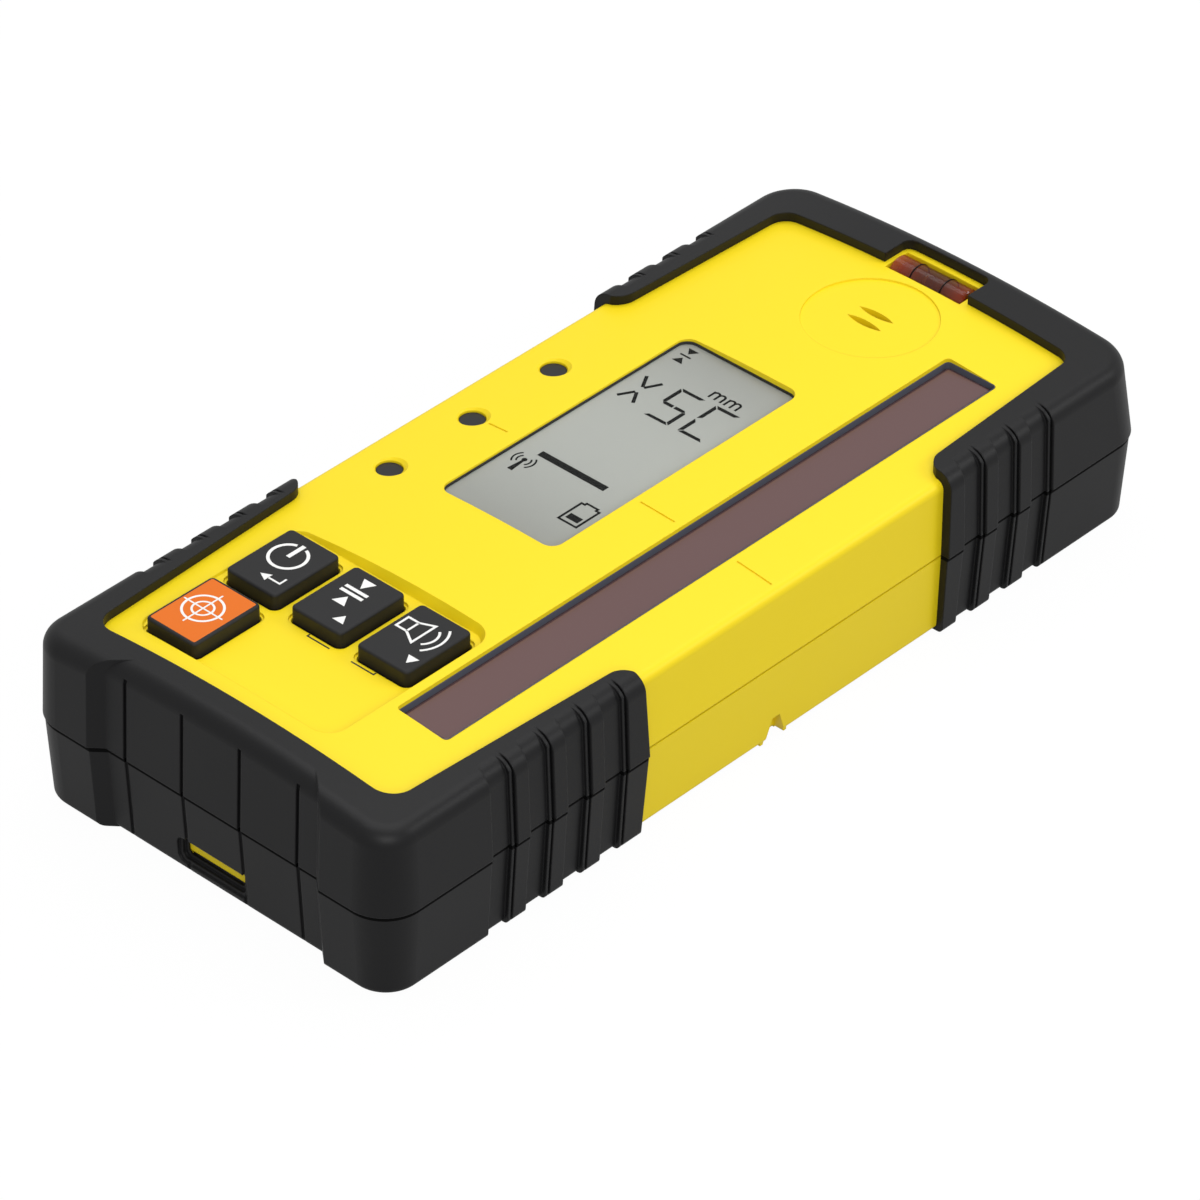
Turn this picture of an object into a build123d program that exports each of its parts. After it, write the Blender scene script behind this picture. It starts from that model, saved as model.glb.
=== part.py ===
from build123d import *
from math import hypot, radians, sqrt, tan
import os

# Laser receiver lying on its back: X across the face, Y towards the vial end, Z out of the face.
# The origin is under the middle, on the surface that the rubber bumpers rest on.

# Outer form of the rubber-clad body
overall_length = 173.0
overall_width = 76.0
corner_radius = 7.0        # at the lower end
upper_corner_radius = 7.0
upper_face_radius = 8.5    # the upper corners open out towards the face
parting_z = 15.1           # the shells and the bumpers all divide at this height
face_draft = 2.5           # degrees, from the parting up to the face
back_draft = 3.5           # degrees, from the parting down to the back
upper_end_draft = 8.2      # the upper end slopes back more than the sides
crown_radius = 290.0       # the face is a shallow barrel across the width
face_crest_z = 30.6
face_edge_radius = 3.0
back_edge_radius = 1.0

# Rubber bumpers
side_rubber = 1.65         # on the casing's sides
panel_rubber = 1.65        # on the recessed panel in the lower end
panel_recess = 1.85        # the corner blocks stand this far proud of the panel
panel_block_width = 13.7
panel_step_run = 2.2       # the slanted flank between a block and the panel
panel_back_draft = 3.3
face_proud = 1.7           # rubber above the yellow face
back_proud = 0.4           # rubber below the yellow back
bumper_gap = 0.42          # the dark line between the front and back halves
back_step = 0.25           # the back halves lie this much inside the front ones
lower_arm_length = 56.1
upper_arm_length = 48.8
arm_face_lean = 0.8        # an arm is this much shorter at the face
arm_back_lean = 0.6        # and this much at the back
arm_tip_radius = 3.5
tooth_pitch = 8.0
tooth_land_drop = 0.85     # how far the low lands between the teeth lie inside the side
tooth_land_length = 5.5
tooth_bead_drop = 0.35     # narrow ridge beside the slit
tooth_bead_width = 0.5
tooth_slit_width = 0.4
tooth_slit_depth = 1.15
lower_tooth_start = 27.6   # from the lower end to the first slit
upper_tooth_start = 39.85  # from the upper end to the first slit
lower_tooth_count = 4
upper_tooth_count = 3
end_groove_pitch = 12.0
end_groove_count = 4
end_groove_width = 0.7
end_groove_depth = 0.6

# Face opening that the front bumpers leave, measured in from the outside
opening_low_margin = 8.5
opening_high_margin = 11.0
opening_low_side = 7.0
opening_high_side = 7.7
opening_arm_low_side = 4.8
opening_arm_high_side = 6.0
back_opening_low_margin = 6.5
back_opening_high_margin = 8.5
back_opening_side = 8.5

# Casing
casing_wall = 2.2
pocket_wall = 1.6          # frames and pockets that are moulded inside the casing
casing_corner_radius = 5.5
casing_face_radius = 1.6   # rounding of the yellow face's edge
casing_back_radius = 0.9
casing_back_draft = 3.0
gasket_thickness = 0.4
gasket_inset = 0.35
boss_radius = 3.5
screw_radius = 1.5
screw_clearance = 0.2
screw_head_radius = 2.75
screw_head_height = 2.4
screw_seat_height = 3.6    # above the casing's back
screw_bite = 7.5           # thread length in the front shell
screw_side_margin = 8.0
screw_end_margin = 10.5
middle_screw_offset = 11.5 # from the on-grade line

# Face features
on_grade_y = 0.5
index_mark_width = 0.3
index_mark_depth = 0.25
index_mark_gap = 1.1       # between a mark and the window
index_mark_length = 7.0
display_x = -6.0
display_y = 10.5
display_width = 24.0
display_height = 56.4
display_corner = 2.2
display_drop = 0.8         # pane below the face's crest
pane_thickness = 0.6
pane_air = 0.05
window_side_margin = 17.1
window_width = 10.2
window_length = 124.0
window_drop = 1.8
window_thickness = 1.6
window_bevel = 1.0
window_bevel_drop = 0.5
window_ledge = 1.0
fit_gap = 0.1              # bonded panes and lenses in their openings
led_side_margin = 9.8
led_pitch = 18.4
led_radius = 2.1
led_rim = 0.5
led_recess = 0.8
sound_end_margin = 24.5
sound_disc_radius = 11.15
sound_disc_depth = 0.3
slot_length = 7.1
slot_width = 1.4
slot_pitch = 3.0
vial_end_margin = 9.2
vial_drop = 1.8            # the vial's axis below the face's crest
vial_radius = 2.6
vial_length = 15.0
vial_wall = 0.8
vial_pocket_gap = 0.3
vial_seat_gap = 0.15
vial_ring_x = 3.1
vial_ring_width = 0.25
vial_notch_half = 8.7
vial_notch_margin = 5.0

# Keypad
keypad_side_margin = 10.7
keypad_window_gap = 2.4
keypad_end_margin = 13.6
keypad_length = 33.6
keypad_corner = 3.0
keypad_drop = 1.7
keypad_floor_thickness = 2.0
keypad_wall_slope = 27.0
key_left_margin = 1.55
key_right_margin = 1.15
key_spacing = 3.25
key_height = 14.1
key_corner = 0.9
key_rise = 0.7             # key tops above the face's crest
key_edge = 0.45
key_gap = 0.25
key_travel = 0.8
key_pitch_y = 16.7
key_row_height = 24.3      # from the recess's lower edge to the row of three
key_well_depth = 0.4
key_well_margin = 0.4
key_flange = 1.05
key_flange_thickness = 0.9
inlay_margin = 0.35
inlay_depth = 0.4

# Boards and what sits on them
board_drop = 7.4           # the main board's face below the face's crest
board_side_gap = 1.55
board_end_gap = 2.8
board_thickness = 1.6
board_screw_radius = 1.0
mat_thickness = 1.0
dome_height = 0.35
sensor_board_drop = 4.6

# Battery bay for two AA cells side by side
cell_radius = 7.1
cell_length = 50.3
nub_radius = 2.75
nub_height = 1.3
cell_gap = 0.2
cell_pitch = 14.9
contact_thickness = 0.4
spring_length = 4.9
bay_end_margin = 9.0
bay_wall = 1.6
door_side_lap = 3.15       # lid beyond the bay, each side
door_end_lap = 1.9
door_thickness = 2.0
door_set = 0.1             # the lid lies this far inside the casing's back
door_gap = 0.2
door_ledge = 0.6           # between the lid and the casing, filled by the seal
door_corner = 2.0
hinge_set = 4.3            # from the bay's end to the hinge's axis
hinge_rise = 1.9           # the axis above the lid's outside
hinge_barrel_radius = 1.5
hinge_pin_radius = 0.8
hinge_play = 0.05
hinge_gap = 0.3
hinge_barrel_inset = 7.9   # the barrel ends this far inside the lid's side
hinge_lug_length = 4.0
seal_width = 1.2

# Finger scoop in the lower end, over the door's latch
scoop_x = -0.85
scoop_half_width = 7.35
scoop_low_z = 1.4
scoop_high_z = 6.2
scoop_step = 0.7
scoop_step_depth = 0.55
latch_rise = 0.5           # the latch above the lid's inside
latch_gap = 0.3

# Rod clamp interface on the back
clamp_from_hinge = 39.2
thread_core_radius = 2.55  # 1/4-20 UNC
insert_radius = 4.6
insert_length = 10.0
insert_boss_wall = 2.0
locator_pitch = 36.0
locator_radius = 2.1
locator_depth = 3.0
mark_height = 4.0
mark_top_width = 1.6
mark_bottom_width = 4.2
mark_depth = 2.6
mark_lip_width = 0.9
mark_lip_length = 7.0

# Sizes that follow from the ones above
half_length = overall_length / 2
half_width = overall_width / 2
casing_width = overall_width - 2 * side_rubber
casing_length = overall_length - 2 * (panel_recess + panel_rubber)
inner_half_width = casing_width / 2 - casing_wall
inner_half_length = casing_length / 2 - casing_wall
bumper_crest_z = face_crest_z + face_proud
casing_back_z = back_proud
floor_z = casing_back_z + casing_wall
inner_crest_z = face_crest_z - casing_wall
face_lean = tan(radians(face_draft))
back_lean = tan(radians(back_draft))
panel_back_lean = tan(radians(panel_back_draft))
casing_back_lean = tan(radians(casing_back_draft))
panel_half_width = half_width - panel_block_width
lower_arm_end_y = -half_length + lower_arm_length
upper_arm_end_y = half_length - upper_arm_length
screw_x = half_width - screw_side_margin
screw_end_y = half_length - screw_end_margin
screw_rows_y = (-screw_end_y, on_grade_y + middle_screw_offset, screw_end_y)
screw_seat_z = casing_back_z + screw_seat_height
display_top_z = face_crest_z - display_drop
window_x = half_width - window_side_margin
window_left_x = window_x - window_width / 2
window_top_z = face_crest_z - window_drop
window_low_z = window_top_z - window_thickness
led_x = -half_width + led_side_margin
sound_y = half_length - sound_end_margin
vial_y = half_length - vial_end_margin
vial_z = face_crest_z - vial_drop
vial_notch_y = half_length - vial_notch_margin
vial_pocket_half = vial_length / 2 + vial_pocket_gap
vial_pocket_low_y = vial_y - vial_radius - vial_seat_gap
vial_pocket_floor_z = vial_z - vial_radius - vial_seat_gap
keypad_left_x = -half_width + keypad_side_margin
keypad_right_x = window_left_x - keypad_window_gap
keypad_low_y = -half_length + keypad_end_margin
keypad_high_y = keypad_low_y + keypad_length
keypad_floor_z = face_crest_z - keypad_drop
keys_span = keypad_right_x - keypad_left_x - key_left_margin - key_right_margin
key_width = (keys_span - 2 * key_spacing) / 3
key_pitch_x = key_width + key_spacing
key_first_x = keypad_left_x + key_left_margin + key_width / 2
key_row_y = keypad_low_y + key_row_height
key_top_z = face_crest_z + key_rise
board_top_z = face_crest_z - board_drop
board_bottom_z = board_top_z - board_thickness
board_left_x = -inner_half_width + board_side_gap
board_low_y = -inner_half_length + board_end_gap
board_high_y = vial_pocket_low_y - pocket_wall - 0.35
mat_top_z = board_top_z + dome_height + 0.05 + mat_thickness
sensor_board_top_z = face_crest_z - sensor_board_drop
door_low_z = casing_back_z + door_set
door_high_z = door_low_z + door_thickness
bay_rim_z = door_high_z + door_ledge
bay_length = cell_length + spring_length + 2 * contact_thickness
bay_low_y = -half_length + bay_end_margin
bay_end_y = bay_low_y + bay_length
bay_half_width = cell_pitch / 2 + cell_radius + cell_gap
cell_z = bay_rim_z + 0.1 + cell_radius
hinge_y = bay_end_y + hinge_set
hinge_z = door_low_z + hinge_rise
door_end_y = bay_low_y - door_end_lap
door_half_width = bay_half_width + door_side_lap
door_near_y = hinge_y - hinge_barrel_radius - hinge_gap
hinge_room_y = hinge_y + hypot(hinge_y - door_near_y, hinge_z - door_low_z) + hinge_gap
hinge_barrel_half = door_half_width - hinge_barrel_inset
latch_top_z = door_high_z + latch_rise
clamp_y = hinge_y + clamp_from_hinge
reach = overall_length


def crown_z(x, crest=face_crest_z):
    """Height of a crowned surface at x."""
    radius = crown_radius + crest - face_crest_z
    return crest - radius + sqrt(radius ** 2 - x ** 2)


def drafted_block(width, length, radius, z_from, z_to, draft):
    """Rounded rectangle at z_from that narrows with draft on the way to z_to."""
    inset = abs(z_to - z_from) * tan(radians(draft))
    first = Plane.XY.offset(z_from) * RectangleRounded(width, length, radius)
    second = Plane.XY.offset(z_to) * RectangleRounded(
        width - 2 * inset, length - 2 * inset, radius - inset)
    return loft([first, second], ruled=True)


def under_crown(crest):
    """Everything below a crowned surface, as a long cylinder along Y."""
    radius = crown_radius + crest - face_crest_z
    return Pos(0, 0, crest - radius) * Rot(90, 0, 0) * Cylinder(radius, 2 * reach)


def face_half(width, length, radius, crest, edge):
    """Upper half of a body: drafted sides, crowned top, rounded top edge."""
    body = drafted_block(width, length, radius, parting_z, crest + 1, face_draft)
    body &= under_crown(crest)
    if edge:
        top = body.faces().sort_by(Axis.Z)[-1]
        body = fillet(top.edges(), edge)
    return body


def back_half(width, length, radius, low_z, edge):
    """Lower half of a body: drafted sides, flat back, rounded lower edge."""
    body = drafted_block(width, length, radius, parting_z, low_z, casing_back_draft)
    if edge:
        bottom = body.faces().sort_by(Axis.Z)[0]
        body = fillet(bottom.edges(), edge)
    return body


def box_between(x0, x1, y0, y1, z0, z1):
    return Pos((x0 + x1) / 2, (y0 + y1) / 2, (z0 + z1) / 2) * Box(x1 - x0, y1 - y0, z1 - z0)


def rounded_prism(x, y, width, height, radius, z0, z1):
    outline = Plane.XY.offset(z0) * Pos(x, y) * RectangleRounded(width, height, radius)
    return extrude(outline, z1 - z0)


def post(x, y, radius, z0, z1):
    return Pos(x, y, (z0 + z1) / 2) * Cylinder(radius, z1 - z0)


def rod_along_x(x0, x1, y, z, radius):
    return Pos((x0 + x1) / 2, y, z) * Rot(0, 90, 0) * Cylinder(radius, x1 - x0)


def leaning_prism(outline, height, lean_x, lean_y):
    """Extrudes a plan outline while it leans sideways, as a drafted side does."""
    run = Vector(lean_x, lean_y, 1 if height > 0 else -1)
    return extrude(outline, abs(height) * run.length, dir=run)


def at_parting(face):
    return Plane.XY.offset(parting_z) * face


def below(z):
    return box_between(-reach, reach, -reach, reach, -reach, z)


def above(z):
    return box_between(-reach, reach, -reach, reach, z, reach)


# Casing envelopes, shared by the shells and by the rubber that lies on them
casing_face = face_half(
    casing_width, casing_length, casing_corner_radius, face_crest_z, casing_face_radius)
casing_back = back_half(
    casing_width, casing_length, casing_corner_radius, casing_back_z, casing_back_radius)


def cavity(towards_face):
    """Room inside the casing, one wall in from its outside."""
    width = casing_width - 2 * casing_wall
    length = casing_length - 2 * casing_wall
    radius = casing_corner_radius - casing_wall
    if towards_face:
        return face_half(width, length, radius, inner_crest_z, 0)
    return back_half(width, length, radius, floor_z, 0)


def screw_places():
    return [(side * screw_x, y) for y in screw_rows_y for side in (-1, 1)]


def key_places():
    """Centres of the power, accuracy, volume and capture keys."""
    row = [(key_first_x + i * key_pitch_x, key_row_y) for i in range(3)]
    return row + [(key_first_x, key_row_y - key_pitch_y)]


def led_places():
    return [(led_x, on_grade_y + i * led_pitch) for i in (1, 0, -1)]


def pane_opening(x, y, width, height, radius, z0, z1, margin=0.0):
    return rounded_prism(
        x, y, width - 2 * margin, height - 2 * margin, max(radius - margin, 0.3), z0, z1)


def lens_slot(y):
    """Slot with two bowed sides that meet in a point at each end."""
    tip = slot_length / 2
    bow = slot_width / 2
    upper = ThreePointArc((-tip, y), (0, y + bow), (tip, y))
    lower = ThreePointArc((tip, y), (0, y - bow), (-tip, y))
    return extrude(Plane.XY.offset(parting_z) * make_face(upper + lower), reach)


def keypad_recess():
    """Flat-floored recess with sloping walls, cut into the crowned face."""
    width = keypad_right_x - keypad_left_x
    height = keypad_high_y - keypad_low_y
    floor = Plane.XY.offset(keypad_floor_z) * Pos(
        (keypad_left_x + keypad_right_x) / 2, (keypad_low_y + keypad_high_y) / 2
    ) * RectangleRounded(width, height, keypad_corner)
    return extrude(floor, 3, taper=-keypad_wall_slope)


def front_shell():
    shell = casing_face - cavity(True)
    # thick floor under the keypad recess
    shell += box_between(
        keypad_left_x - casing_wall, keypad_right_x + casing_wall,
        keypad_low_y - casing_wall, keypad_high_y + casing_wall,
        keypad_floor_z - keypad_floor_thickness, keypad_floor_z) & casing_face
    # frame that carries the receiving window and its board
    frame_half = window_width / 2 + pocket_wall
    frame_end = window_length / 2 + 6.0
    shell += box_between(
        window_x - frame_half, window_x + frame_half,
        on_grade_y - frame_end, on_grade_y + frame_end,
        sensor_board_top_z, inner_crest_z) & casing_face
    # walls of the vial pocket
    pocket_half = vial_pocket_half + pocket_wall
    shell += box_between(
        -pocket_half, pocket_half, vial_pocket_low_y - pocket_wall, inner_half_length,
        vial_pocket_floor_z - pocket_wall, inner_crest_z) & casing_face
    # screw bosses and board posts
    for x, y in screw_places():
        boss = post(x, y, boss_radius, parting_z, face_crest_z) & casing_face
        shell += boss - post(x, y, screw_radius, parting_z, parting_z + screw_bite)
    for x, y in main_board_screws():
        pillar = post(x, y, board_screw_radius + 1.2, board_top_z, face_crest_z) & casing_face
        shell += pillar - post(x, y, board_screw_radius, board_top_z, board_top_z + 3)
    for x, y in sensor_board_screws():
        shell -= post(x, y, board_screw_radius, sensor_board_top_z, sensor_board_top_z + 2)
    shell -= below(parting_z + gasket_thickness / 2)
    # openings in the face
    shell -= pane_opening(
        display_x, display_y, display_width, display_height, display_corner, parting_z, reach)
    shell -= pane_opening(
        window_x, on_grade_y, window_width, window_length, 0.8, window_low_z, reach)
    shell -= pane_opening(
        window_x, on_grade_y, window_width, window_length, 0.8, parting_z, reach, window_ledge)
    for x, y in led_places():
        rim_z = crown_z(x)
        shell -= post(x, y, led_radius + fit_gap, parting_z, reach)
        shell -= Pos(x, y, rim_z) * Cone(
            led_radius + fit_gap, led_radius + fit_gap + 2 * led_rim, 2 * led_rim)
    disc = post(0, sound_y, sound_disc_radius, face_crest_z - 2, reach)
    shell -= disc - under_crown(face_crest_z - sound_disc_depth)
    for side in (-1, 1):
        shell -= lens_slot(sound_y + side * slot_pitch / 2)
    shell -= keypad_recess()
    for x, y in key_places():
        well = 2 * (key_gap + key_well_margin)
        shell -= rounded_prism(
            x, y, key_width + well, key_height + well, key_corner + well / 2,
            keypad_floor_z - key_well_depth, reach)
        shell -= rounded_prism(
            x, y, key_width + 2 * key_gap, key_height + 2 * key_gap,
            key_corner + key_gap, parting_z, reach)
    shell -= box_between(
        -vial_pocket_half, vial_pocket_half, vial_pocket_low_y,
        vial_y + vial_radius + vial_seat_gap, vial_pocket_floor_z, reach)
    return shell - index_marks()


def index_marks():
    """Fine engraved lines on the face that mark the on-grade height."""
    window_right_x = window_x + window_width / 2
    left_display_x = display_x - display_width / 2
    spans = [
        (left_display_x - 2.7 - 4.0, left_display_x - 2.7),
        (window_left_x - 1.5 - index_mark_length, window_left_x - 1.5),
        (window_right_x + index_mark_gap, window_right_x + index_mark_gap + index_mark_length)]
    lines = [box_between(
        x0, x1, on_grade_y - index_mark_width / 2, on_grade_y + index_mark_width / 2,
        face_crest_z - 5, reach) for x0, x1 in spans]
    return lines[0] + lines[1] + lines[2] - under_crown(face_crest_z - index_mark_depth)


def main_board_screws():
    """Two screws between the buzzer and the display, two between the display and the keypad."""
    columns = (board_left_x + 7.6, keypad_right_x - 3.4)
    return [(x, y) for y in (sound_y - 10.0, keypad_high_y + 8.3) for x in columns]


def sensor_board_screws():
    end = window_length / 2 + 3.0
    return [(window_x, on_grade_y - end), (window_x, on_grade_y + end)]


def mark_notch(side):
    """Vee in the side's back edge that marks the on-grade line."""
    low_x = casing_width / 2 - mark_height * casing_back_lean
    outline = Polyline(
        (on_grade_y - mark_bottom_width / 2 - 0.4, casing_back_z - 0.7),
        (on_grade_y - mark_top_width / 2, casing_back_z + mark_height),
        (on_grade_y + mark_top_width / 2, casing_back_z + mark_height),
        (on_grade_y + mark_bottom_width / 2 + 0.4, casing_back_z - 0.7), close=True)
    start = Plane.YZ.offset(low_x - mark_depth) * make_face(outline)
    wedge = extrude(start, 2 * mark_depth)
    return wedge if side > 0 else mirror(wedge, Plane.YZ)


def mark_lips(side):
    """Two low ridges on the back that carry the vee's edges inwards."""
    outer_x = casing_width / 2 - (parting_z - casing_back_z) * casing_back_lean
    outer_x -= casing_back_radius
    lips = []
    for way in (-1, 1):
        near = on_grade_y + way * mark_bottom_width / 2
        far = near + way * mark_lip_width
        lips.append(box_between(
            outer_x - mark_lip_length, outer_x + 0.6, min(near, far), max(near, far),
            0.0, casing_back_z + 0.5))
    both = lips[0] + lips[1]
    return both if side > 0 else mirror(both, Plane.YZ)


def back_shell():
    shell = casing_back - cavity(False)
    flange_half = door_half_width + door_gap + 2.0
    bay_outer = bay_half_width + bay_wall
    # block round the door, then the walls and curved ceiling of the battery bay
    shell += box_between(
        -flange_half, flange_half, door_end_y - 1.0, hinge_room_y + 2.0,
        casing_back_z + 1.0, bay_rim_z + 2.0)
    shell += box_between(
        -bay_outer, bay_outer, bay_low_y - bay_wall, bay_end_y + bay_wall,
        floor_z, cell_z)
    hood_radius = cell_radius + cell_gap + bay_wall
    hood_length = bay_length + 2 * bay_wall
    hood = Pos(0, (bay_low_y + bay_end_y) / 2, cell_z) * Rot(90, 0, 0) * (
        Pos(-cell_pitch / 2, 0) * Cylinder(hood_radius, hood_length)
        + Pos(cell_pitch / 2, 0) * Cylinder(hood_radius, hood_length)
        + Box(cell_pitch, 2 * (cell_radius + bay_wall), hood_length))
    shell += hood & above(cell_z - 1)
    for x, y in screw_places():
        shell += post(x, y, boss_radius, floor_z - 0.5, parting_z)
    boss_top = casing_back_z + insert_length + insert_boss_wall
    shell += post(0, clamp_y, insert_radius + insert_boss_wall, floor_z - 0.5, boss_top)
    for y in locator_places():
        shell += post(0, y, locator_radius + 2.0, floor_z - 0.5, floor_z + 2.5)
    # stiffening ribs on the floor of the upper part
    for x in (-14.0, 14.0):
        shell += box_between(
            x - 0.7, x + 0.7, hinge_room_y + 1, inner_half_length, floor_z - 0.5, floor_z + 3
        ) & casing_back
    for y in (clamp_y - 26.0, clamp_y + 26.0, clamp_y + 44.0):
        shell += box_between(
            -inner_half_width, inner_half_width, y - 0.7, y + 0.7, floor_z - 0.5, floor_z + 3
        ) & casing_back
    for side in (-1, 1):
        shell += mark_lips(side)
    shell -= above(parting_z - gasket_thickness / 2)
    # room for the cells
    shell -= box_between(
        -bay_half_width, bay_half_width, bay_low_y, bay_end_y, 0, cell_z)
    bay_middle = (bay_low_y + bay_end_y) / 2
    for side in (-1, 1):
        shell -= Pos(side * cell_pitch / 2, bay_middle, cell_z) * Rot(90, 0, 0) * Cylinder(
            cell_radius + cell_gap, bay_length)
    # room for the door, its hinge and its latch
    door_room = door_half_width + door_gap
    shell -= rounded_prism(
        0, (door_end_y - door_gap + hinge_room_y) / 2, 2 * door_room,
        hinge_room_y - door_end_y + door_gap, door_corner, -1, bay_rim_z)
    shell -= box_between(-door_room, door_room, door_near_y, hinge_room_y, -1, bay_rim_z)
    shell -= rod_along_x(
        -hinge_barrel_half - hinge_gap, hinge_barrel_half + hinge_gap,
        hinge_y, hinge_z, hinge_barrel_radius + hinge_gap)
    shell -= latch_room()
    for side in (-1, 1):
        lug_from = side * (hinge_barrel_half + hinge_gap)
        lug_to = lug_from + side * hinge_lug_length
        lug = rod_along_x(min(lug_from, lug_to), max(lug_from, lug_to),
                          hinge_y, hinge_z, hinge_barrel_radius)
        lug += box_between(
            min(lug_from, lug_to), max(lug_from, lug_to), hinge_y - hinge_barrel_radius,
            hinge_y + hinge_barrel_radius, hinge_z, bay_rim_z + 0.5)
        shell += lug
    shell -= hinge_pin(0)
    # screw holes, clamp interface, marks
    for x, y in screw_places():
        shell -= post(x, y, screw_radius + screw_clearance, -1, parting_z)
        shell -= post(x, y, screw_head_radius + screw_clearance, -1, screw_seat_z)
    shell -= post(0, clamp_y, insert_radius, -1, casing_back_z + insert_length)
    for y in locator_places():
        shell -= post(0, y, locator_radius, -1, casing_back_z + locator_depth)
    for side in (-1, 1):
        shell -= mark_notch(side)
    return shell


def locator_places():
    return [clamp_y - locator_pitch / 2, clamp_y + locator_pitch / 2]


def latch_room():
    """Gap in the casing's end wall that the latch passes through."""
    half = scoop_half_width - 2 * scoop_step + latch_gap
    return box_between(
        scoop_x - half, scoop_x + half, -half_length, door_end_y + 2 * latch_gap, -1,
        latch_top_z + latch_gap)


def casing_gasket():
    outer_w = casing_width - 2 * gasket_inset
    outer_l = casing_length - 2 * gasket_inset
    inner_w = casing_width - 2 * casing_wall + 0.6
    inner_l = casing_length - 2 * casing_wall + 0.6
    ring = Plane.XY.offset(parting_z - gasket_thickness / 2) * (
        RectangleRounded(outer_w, outer_l, casing_corner_radius - gasket_inset)
        - RectangleRounded(inner_w, inner_l, casing_corner_radius - casing_wall + 0.3))
    return extrude(ring, gasket_thickness)


def rubber_plan(z, width, low_y, high_y, low_radius, high_radius):
    """Plan of the rubber at one height, with its own corner radius at each end."""
    plan = Pos(0, (low_y + high_y) / 2) * Rectangle(width, high_y - low_y)
    plan = fillet([v for v in plan.vertices() if v.Y < 0], low_radius)
    high = [v for v in plan.vertices() if v.Y > high_y - 0.01]
    return Plane.XY.offset(z) * fillet(high, high_radius)


def rubber_half(towards_face, drop=0.0, recess=0.0):
    """Rubber form on one side of the parting, lying drop inside all round, recess at the end."""
    if towards_face:
        leans = (face_lean, face_lean, tan(radians(upper_end_draft)))
        far_z = bumper_crest_z + 1
        far_radius = upper_face_radius
        step = drop
    else:
        leans = (back_lean, panel_back_lean if recess else back_lean, back_lean)
        far_z = 0.0
        far_radius = upper_corner_radius
        step = drop + back_step
    plans = []
    for z, high_radius in ((parting_z, upper_corner_radius), (far_z, far_radius)):
        side, low, high = [step + abs(z - parting_z) * lean for lean in leans]
        plans.append(rubber_plan(
            z, 2 * (half_width - side), -half_length + recess + low, half_length - high,
            corner_radius - side, high_radius - side))
    body = loft(plans, ruled=True)
    if towards_face:
        body &= under_crown(bumper_crest_z)
        return fillet(body.faces().sort_by(Axis.Z)[-1].edges(), face_edge_radius)
    return fillet(body.faces().sort_by(Axis.Z)[0].edges(), back_edge_radius)


def rubber_envelope(towards_face):
    """Outside of the rubber: a recessed panel lies between two corner blocks at the lower end."""
    lean = face_lean if towards_face else back_lean
    height = (bumper_crest_z + 1 - parting_z) if towards_face else -(parting_z + 1)
    blocks = rubber_half(towards_face)
    inner = panel_half_width - 5 * panel_step_run / panel_recess
    gap = make_face(Polyline(
        (-panel_half_width - panel_step_run, -half_length - panel_recess),
        (panel_half_width + panel_step_run, -half_length - panel_recess),
        (inner, -half_length + 5), (-inner, -half_length + 5), close=True))
    blocks -= leaning_prism(at_parting(gap), height, 0, lean)
    side = panel_half_width + panel_step_run + 1
    panel = rubber_half(towards_face, recess=panel_recess)
    panel &= box_between(-side, side, -half_length, -half_length + 12, -1, reach)
    return blocks + panel


def tooth_places():
    """Where each slit on a side meets the full tooth above it."""
    starts = [-half_length + lower_tooth_start + i * tooth_pitch for i in range(lower_tooth_count)]
    return starts + [
        half_length - upper_tooth_start + i * tooth_pitch for i in range(upper_tooth_count)]


def land_outline(y):
    """Plan of one low land, with the narrow bead that is left beside the slit."""
    outer_x = half_width + 2
    bead_x = half_width - tooth_bead_drop
    deep_x = half_width - 5
    bead_y = y - tooth_slit_width - tooth_bead_width
    return make_face(Polyline(
        (outer_x, y - tooth_land_length), (half_width - tooth_land_drop, y - tooth_land_length + 0.4),
        (deep_x, y - tooth_land_length + 1.4), (deep_x, bead_y - 0.1), (bead_x, bead_y),
        (bead_x, y - tooth_slit_width), (outer_x, y - tooth_slit_width), close=True))


def slit_outline(y):
    return make_face(Polyline(
        (half_width + 2, y - tooth_slit_width), (half_width - 5, y - tooth_slit_width),
        (half_width - 5, y), (half_width - 0.3, y), (half_width + 2, y + 0.7), close=True))


def cut_teeth(rubber, towards_face):
    """Lands and slits keep the rounded edge of the side, only further in."""
    lean = face_lean if towards_face else back_lean
    height = (bumper_crest_z + 1 - parting_z) if towards_face else -(parting_z + 1)
    for outline, depth in ((land_outline, tooth_land_drop), (slit_outline, tooth_slit_depth)):
        tools = []
        for y in tooth_places():
            tool = leaning_prism(at_parting(outline(y)), height, -lean, 0)
            tools += [tool, mirror(tool, Plane.YZ)]
        core = rubber_half(towards_face, drop=depth)
        rubber -= [tool - core for tool in tools]
    return rubber


def cut_end_grooves(rubber, towards_face):
    lean = face_lean if towards_face else panel_back_lean
    top = bumper_crest_z - face_edge_radius * 0.8 - parting_z
    height = top if towards_face else -(parting_z + 1)
    panel_y = half_length - panel_recess
    for i in range(end_groove_count):
        x = (i - (end_groove_count - 1) / 2) * end_groove_pitch
        outline = Pos(x, -panel_y - 1) * Rectangle(
            end_groove_width, 2 * (1 + end_groove_depth))
        rubber -= leaning_prism(at_parting(outline), height, 0, lean)
    return rubber


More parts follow.
